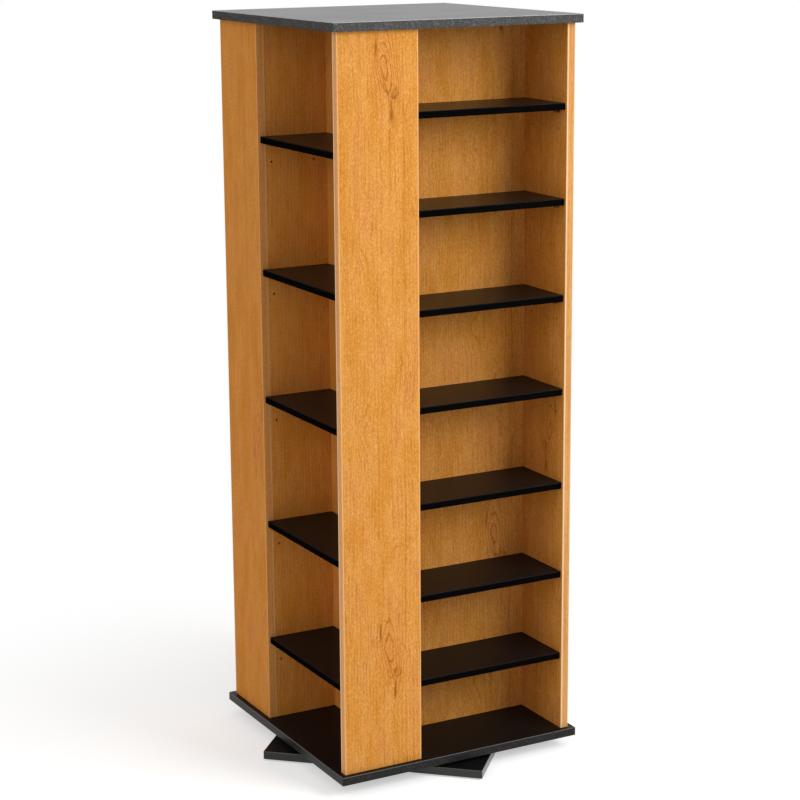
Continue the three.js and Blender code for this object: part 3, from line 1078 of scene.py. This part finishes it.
def sun(name, towards, strength, softness, tint):
    """A soft distant lamp that shines from the given direction."""
    data = bpy.data.lights.new(name, "SUN")
    data.energy = strength
    data.color = tint
    data.angle = softness
    lamp = bpy.data.objects.new(name, data)
    lamp.rotation_mode = "QUATERNION"
    lamp.rotation_quaternion = Vector(towards).normalized().to_track_quat("Z", "Y")
    bpy.context.scene.collection.objects.link(lamp)


def softbox(name, place, aim, watts, width):
    """A square lamp, its power in watts and its side in metres, that neither camera nor gloss shows."""
    data = bpy.data.lights.new(name, "AREA")
    data.energy = watts
    data.size = width
    lamp = bpy.data.objects.new(name, data)
    lamp.location = place
    lamp.rotation_mode = "QUATERNION"
    lamp.rotation_quaternion = (Vector(place) - Vector(aim)).to_track_quat("Z", "Y")
    lamp.visible_camera = False
    lamp.visible_glossy = False
    bpy.context.scene.collection.objects.link(lamp)


KEY_LAMP = {"place": (1.6, -2.8, 2.4), "aim": (0, 0, 1.0), "watts": 76.5, "width": 1.8}
FILL_LAMP = {
    "towards": (-0.9, -0.35, 0.5), "strength": 0.54, "softness": 0.9, "tint": (1.0, 0.90, 0.78),
}
AMBIENT = 0.42
WHITE = (1, 1, 1, 1)
FLOOR_REACH = 60.0
FLOOR_FADE = (0.35, 1.1)
FLOOR_LIFT = 0.48
FLOOR_DULL = srgb(238, 238, 238)
FLOOR_PALE = srgb(243, 243, 243)


def white_seen(tree):
    """1 where the camera, a mirror or a clear piece sees the background, so that it is white there."""
    rays = tree.nodes.new("ShaderNodeLightPath")
    seen = rays.outputs["Is Camera Ray"]
    for kind in ("Is Glossy Ray", "Is Transmission Ray"):
        larger = tree.nodes.new("ShaderNodeMath")
        larger.operation = "MAXIMUM"
        tree.links.new(seen, larger.inputs[0])
        tree.links.new(rays.outputs[kind], larger.inputs[1])
        seen = larger.outputs[0]
    return seen


def world():
    """A soft light from all round, whose own brightness shows as plain white."""
    made = bpy.data.worlds.new("studio")
    made.use_nodes = True
    tree = made.node_tree
    back = tree.nodes["Background"]
    back.inputs["Color"].default_value = WHITE
    strength = tree.nodes.new("ShaderNodeMapRange")
    strength.inputs["To Min"].default_value = AMBIENT
    strength.inputs["To Max"].default_value = 1.0
    tree.links.new(white_seen(tree), strength.inputs["Value"])
    tree.links.new(strength.outputs[0], back.inputs["Strength"])
    bpy.context.scene.world = made


def floor():
    """A pale floor that takes the tower's shadow near it and goes over to plain white further out."""
    mesh = bpy.data.meshes.new("floor")
    reach = FLOOR_REACH
    corners = [(-reach, -reach, 0), (reach, -reach, 0), (reach, reach, 0), (-reach, reach, 0)]
    mesh.from_pydata(corners, [], [(0, 1, 2, 3)])
    made = bpy.data.objects.new("floor", mesh)
    bpy.context.scene.collection.objects.link(made)
    g = Graph("floor_paper")
    far = g.ramp(((g.x ** 2) + (g.y ** 2)).root(), *FLOOR_FADE)
    grain = g.noise(g.place, scale=40.0)
    g.finish(g.blend(grain, FLOOR_DULL, FLOOR_PALE), 0.9, None, Specular_IOR_Level=0.0)
    seen = Wire(g, white_seen(g.tree))
    lift = g.node("ShaderNodeEmission", None, {"Color": WHITE, "Strength": seen * FLOOR_LIFT})
    near = g.node("ShaderNodeAddShader", None, {0: Wire(g, g.surface.outputs[0]), 1: lift})
    glow = g.node("ShaderNodeEmission", None, {"Color": WHITE, "Strength": 1.0})
    mixed = g.node("ShaderNodeMixShader", None, {0: far * seen, 1: near, 2: glow})
    g.tree.links.new(mixed.socket, g.tree.nodes["Material Output"].inputs["Surface"])
    mesh.materials.append(g.material)


def dress():
    """All the looks of the part: its finishes and the pieces that take the place of plain ones."""
    laminates = {name: black_laminate(name, **values) for name, values in LAMINATES.items()}
    bands = {name: black_band(name, **values) for name, values in BOARD_BANDS.items()}
    face = laminates["black_laminate"]
    big_boards(
        [laminates["top_laminate"], bands["top_edge_band_painted_sheen"]],
        [face, bands["bottom_edge_band"]],
        [face, bands["base_edge_band"]],
    )
    bronze = pin_bronze("pin_bronze")
    zinc = zinc_steel("zinc_steel")
    ball_ring(ball_steel("ball_steel"))
    for index, side in enumerate(SIDES):
        across_axis = index % 2
        low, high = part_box("side_panel_" + side)
        middle = (low[across_axis] + high[across_axis]) / 2
        sheet = oak("oak_panel_" + side, across_axis, middle, RIM_HIGHLIGHT_SHOWN, *PANEL_FIGURES[side])
        paint_node("side_panel_" + side, sheet)
        front = (low.y, high.x, high.y, low.x)[index]
        across_axis = 1 - across_axis
        edge_bands(side, oak_band("oak_band_" + side, index + 1, *BAND_TONES[side], across_axis, front))
        low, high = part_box("divider_" + side)
        middle = (low[across_axis] + high[across_axis]) / 2
        sheet = oak("oak_divider_" + side, across_axis, middle, 0.0, *DIVIDER_FIGURES[side])
        paint_node("divider_" + side, sheet)
        shelves(side, face, bands["shelf_edge_band_painted_shade"])
        shelf_pins(side, bronze)
    plates(zinc)
    screws(zinc)
    glides(glide_plastic("glide_plastic"))


bpy.context.scene.view_settings.view_transform = "Standard"
camera()
world()
softbox("key", **KEY_LAMP)
sun("fill", **FILL_LAMP)
floor()
dress()
